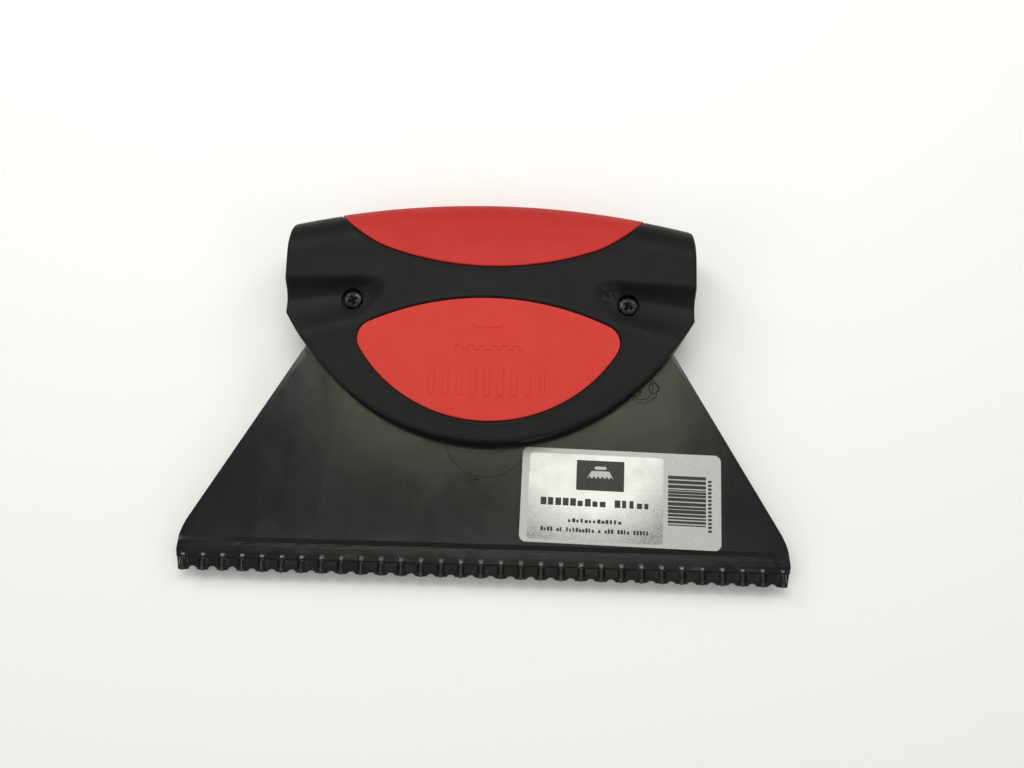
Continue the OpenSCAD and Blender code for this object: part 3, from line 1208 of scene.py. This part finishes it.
def blade_plastic():
    """Semi-gloss black plastic: cloudy over the plate, rubbed smooth along the teeth."""
    made, tree, shader = material("blade_plastic")
    at = place(tree)
    tone = tones(tree, noise(tree, at, 30, 4), (8, 10, 14), (13, 14, 13), 0.35, 0.65)
    tree.links.new(tone, shader.inputs["Base Color"])
    haze = fit(tree, noise(tree, at, 16, 5, 0.6, (1, 0.6, 1)), 0.35, 0.7, 0.16, 0.27)
    rubbed = along_y(tree, at, 8, 9.5, 0.6, 1)
    tree.links.new(product(tree, haze, rubbed), shader.inputs["Roughness"])
    from_band = along_y(tree, at, BAND_H, 6, 0, 1)
    strip = product(tree, from_band, along_y(tree, at, 11.5, STRIP_H, 1, 0))
    sink = product(tree, noise(tree, at, 9, 1), strip)
    grain = noise(tree, at, 1.2, 3, 0.6)
    bumped(tree, shader, (grain, 0.008), (noise(tree, at, 14, 2), 0.12), (sink, 0.25))
    return made


def red_rubber(name, low, high):
    """Soft red rubber, a little uneven, with a fine matte skin; darkening towards the top of the roll
    is painted shade.
    """
    made, tree, shader = material(name, specular=0.2)
    at = place(tree)
    tone = tones(tree, noise(tree, at, 18, 4), low, high)
    # Painted shade: the red darkens towards the top of the roll, which turns away from the light
    wear_and_painted_shade = along_y(tree, at, ROLL_Y - 15, ROLL_Y + 12, 0, 0.75)
    colour = mixed(tree, wear_and_painted_shade, tone, (170, 36, 32))
    painted(tree, shader, colour, noise(tree, at, 6, 3), 0.55, 0.68)
    bumped(tree, shader, (noise(tree, at, 0.3, 2), 0.02))
    return made


def carbide():
    """Grey sintered metal with ground marks."""
    made, tree, shader = material("pin_carbide", metallic=0.9)
    at = place(tree)
    tone = tones(tree, noise(tree, at, 1.2, 4), (52, 53, 54), (92, 92, 90))
    painted(tree, shader, tone, noise(tree, at, 0.5, 3), 0.3, 0.5)
    bumped(tree, shader, (noise(tree, at, 0.25, 2, 0.6, (1, 6, 1)), 0.01))
    return made


def screw_black():
    """Blackened steel, rubbed bright in places."""
    made, tree, shader = material("screw_black", metallic=0.8)
    at = place(tree)
    rub = noise(tree, at, 1.3, 3, 0.55)
    tone = tones(tree, rub, (20, 20, 21), (64, 64, 62), 0.45, 0.75)
    painted(tree, shader, tone, rub, 0.38, 0.26)
    bumped(tree, shader, (noise(tree, at, 0.4, 3), 0.006))
    return made


def label_paper():
    """Pale grey film with a faint metallic grain."""
    made, tree, shader = material("label_paper", metallic=0.15)
    grain = noise(tree, place(tree), 0.8, 3, 0.7)
    painted(tree, shader, tones(tree, grain, (176, 177, 176), (199, 199, 195)), grain, 0.35, 0.5)
    bumped(tree, shader, (grain, 0.003))
    return made


def label_foil():
    """Silvery flaked foil with a painted reflection: pale near the top and cooler and darker away from
    there.
    """
    made, tree, shader = material("label_foil", specular=1.0)
    at = place(tree)
    flake = noise(tree, at, 0.6, 3, 0.8)
    cool = tones(tree, flake, (80, 86, 88), (184, 188, 186), 0.35, 0.65)
    # Painted reflection: pale warm foil near the top of the label, where the ceiling lamp is mirrored,
    # fading to the darker cool foil
    painted_reflection = tones(tree, flake, (240, 240, 222), (255, 255, 255), 0.35, 0.65)
    bright = (LABEL_AT[0] - LABEL_W * 0.15, LABEL_AT[1] + LABEL_H * 0.5, FRONT_Z)
    near = fit(tree, near_point(tree, at, bright, LABEL_W), 0.48, 0.7, 0, 1)
    patch = fit(tree, noise(tree, at, 12, 2), 0.3, 0.6, 0.75, 1)
    painted(tree, shader, mixed(tree, product(tree, near, patch), cool, painted_reflection), flake, 0.4, 0.25)
    bumped(tree, shader, (flake, 0.01))
    return made


def label_ink():
    """Dark print, slightly worn."""
    made, tree, shader = material("label_ink")
    wear_and_painted_shade = noise(tree, place(tree), 0.7, 4, 0.7)
    painted(tree, shader, tones(tree, wear_and_painted_shade, (28, 30, 27), (56, 57, 53), 0.4, 0.8), wear_and_painted_shade, 0.4, 0.55)
    bumped(tree, shader, (wear_and_painted_shade, 0.003))
    return made


# ---------- stage

def floor():
    """A plain pale floor under the tool."""
    far = 6
    data = bpy.data.meshes.new("floor")
    corners = [(-far, -far, 0), (far, -far, 0), (far, far, 0), (-far, far, 0)]
    data.from_pydata(corners, [], [(0, 1, 2, 3)])
    paint, _, shader = material("floor_paint")
    shader.inputs["Base Color"].default_value = srgb(251, 251, 250)
    shader.inputs["Roughness"].default_value = 0.8
    data.materials.append(paint)
    placed("floor", data)


def area_light(name, at, size, power, tint=(1, 1, 1), down=True):
    """A soft rectangular lamp that faces straight down, or the middle of the tool."""
    data = bpy.data.lights.new(name, "AREA")
    data.shape = "RECTANGLE"
    data.size, data.size_y = size
    data.energy = power
    data.color = tint
    made = placed(name, data)
    made.location = at
    aim = Vector((at[0], at[1], 0) if down else (0, 0, 0))
    made.rotation_euler = (aim - Vector(at)).to_track_quat("-Z", "Y").to_euler()


def lights():
    """A cream ceiling that the blade mirrors, a line for the ribs, a lamp behind, and corner lamps."""
    cream = (1, 0.98, 0.66)
    area_light("ceiling", (-0.005, 0.107, 0.9), (0.57, 0.43), 0.13, cream)
    area_light("ceiling_near", (-0.005, 0.182, 0.88), (0.54, 0.28), 0.8, cream)
    area_light("line", (-0.03, -0.145, 0.9), (0.8, 0.03), 0.28)
    area_light("behind", (-0.045, 0.39, 0.9), (1.0, 0.26), 4.2)
    for side, x in (("left", -1), ("right", 1)):
        back = (0.85 * x, 0.75, 0.85)
        front = (1.1 * x, -0.85, 0.85)
        area_light("back_" + side, back, (0.4, 0.4), 2.45 - 0.3 * x, down=False)
        area_light("front_" + side, front, (0.7, 0.7), 2.8 - 0.2 * x, down=False)
    world = bpy.data.worlds.new("surroundings")
    bpy.context.scene.world = world
    world.use_nodes = True
    shade = world.node_tree.nodes["Background"]
    shade.inputs["Color"].default_value = (1, 1, 1, 1)
    shade.inputs["Strength"].default_value = 0.3


def camera():
    """The camera at the photo's angle."""
    data = bpy.data.cameras.new("camera")
    data.lens = LENS
    data.sensor_width = SENSOR
    data.clip_start = 0.01
    data.clip_end = 20
    made = placed("camera", data)
    turn = Euler([math.radians(t) for t in CAMERA_TURN], "XYZ").to_matrix().to_4x4()
    seen = rest_pose() @ Matrix.Translation(CAMERA_AT) @ turn
    made.rotation_mode = "QUATERNION"
    made.location, made.rotation_quaternion, _ = seen.decompose()
    bpy.context.scene.camera = made


# ---------- the tool

def build():
    """Every piece of the tool with its finish."""
    black = handle_plastic()
    # Painted shade: the upper pad is the same rubber as the lower, given darker reds for the light that
    # falls off over the roll
    upper = red_rubber("red_grip_upper", (197, 50, 43), (202, 54, 47))
    lower = red_rubber("red_grip_lower", (206, 58, 50), (211, 62, 54))
    for side, front in (("front", True), ("rear", False)):
        shell = f"handle_{side}_shell"
        piece(f"{shell}_body", shell_mesh(front), black, [shell])
        pad = f"{side}_grip_crescent"
        piece(f"{pad}_rubber", crescent_mesh(front), upper, [pad])
        pad = f"{side}_lens_pad"
        piece(f"{pad}_rubber", lens_mesh(front), lower, [pad])
    piece("blade_plate", blade_mesh(), blade_plastic(), ["blade"])
    metal = carbide()
    for k in range(PIN_COUNT):
        node = f"pin_{k + 1:02d}"
        piece(f"{node}_metal", pin_mesh(k), metal, [node])
    piece("screw_pair", screw_mesh(), screw_black(), ["handle_screws"])
    label_pieces(label_paper(), label_foil(), label_ink())


def main():
    """The whole scene round the CAD."""
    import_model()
    build()
    floor()
    lights()
    camera()
    bpy.context.scene.view_settings.view_transform = "Standard"


main()
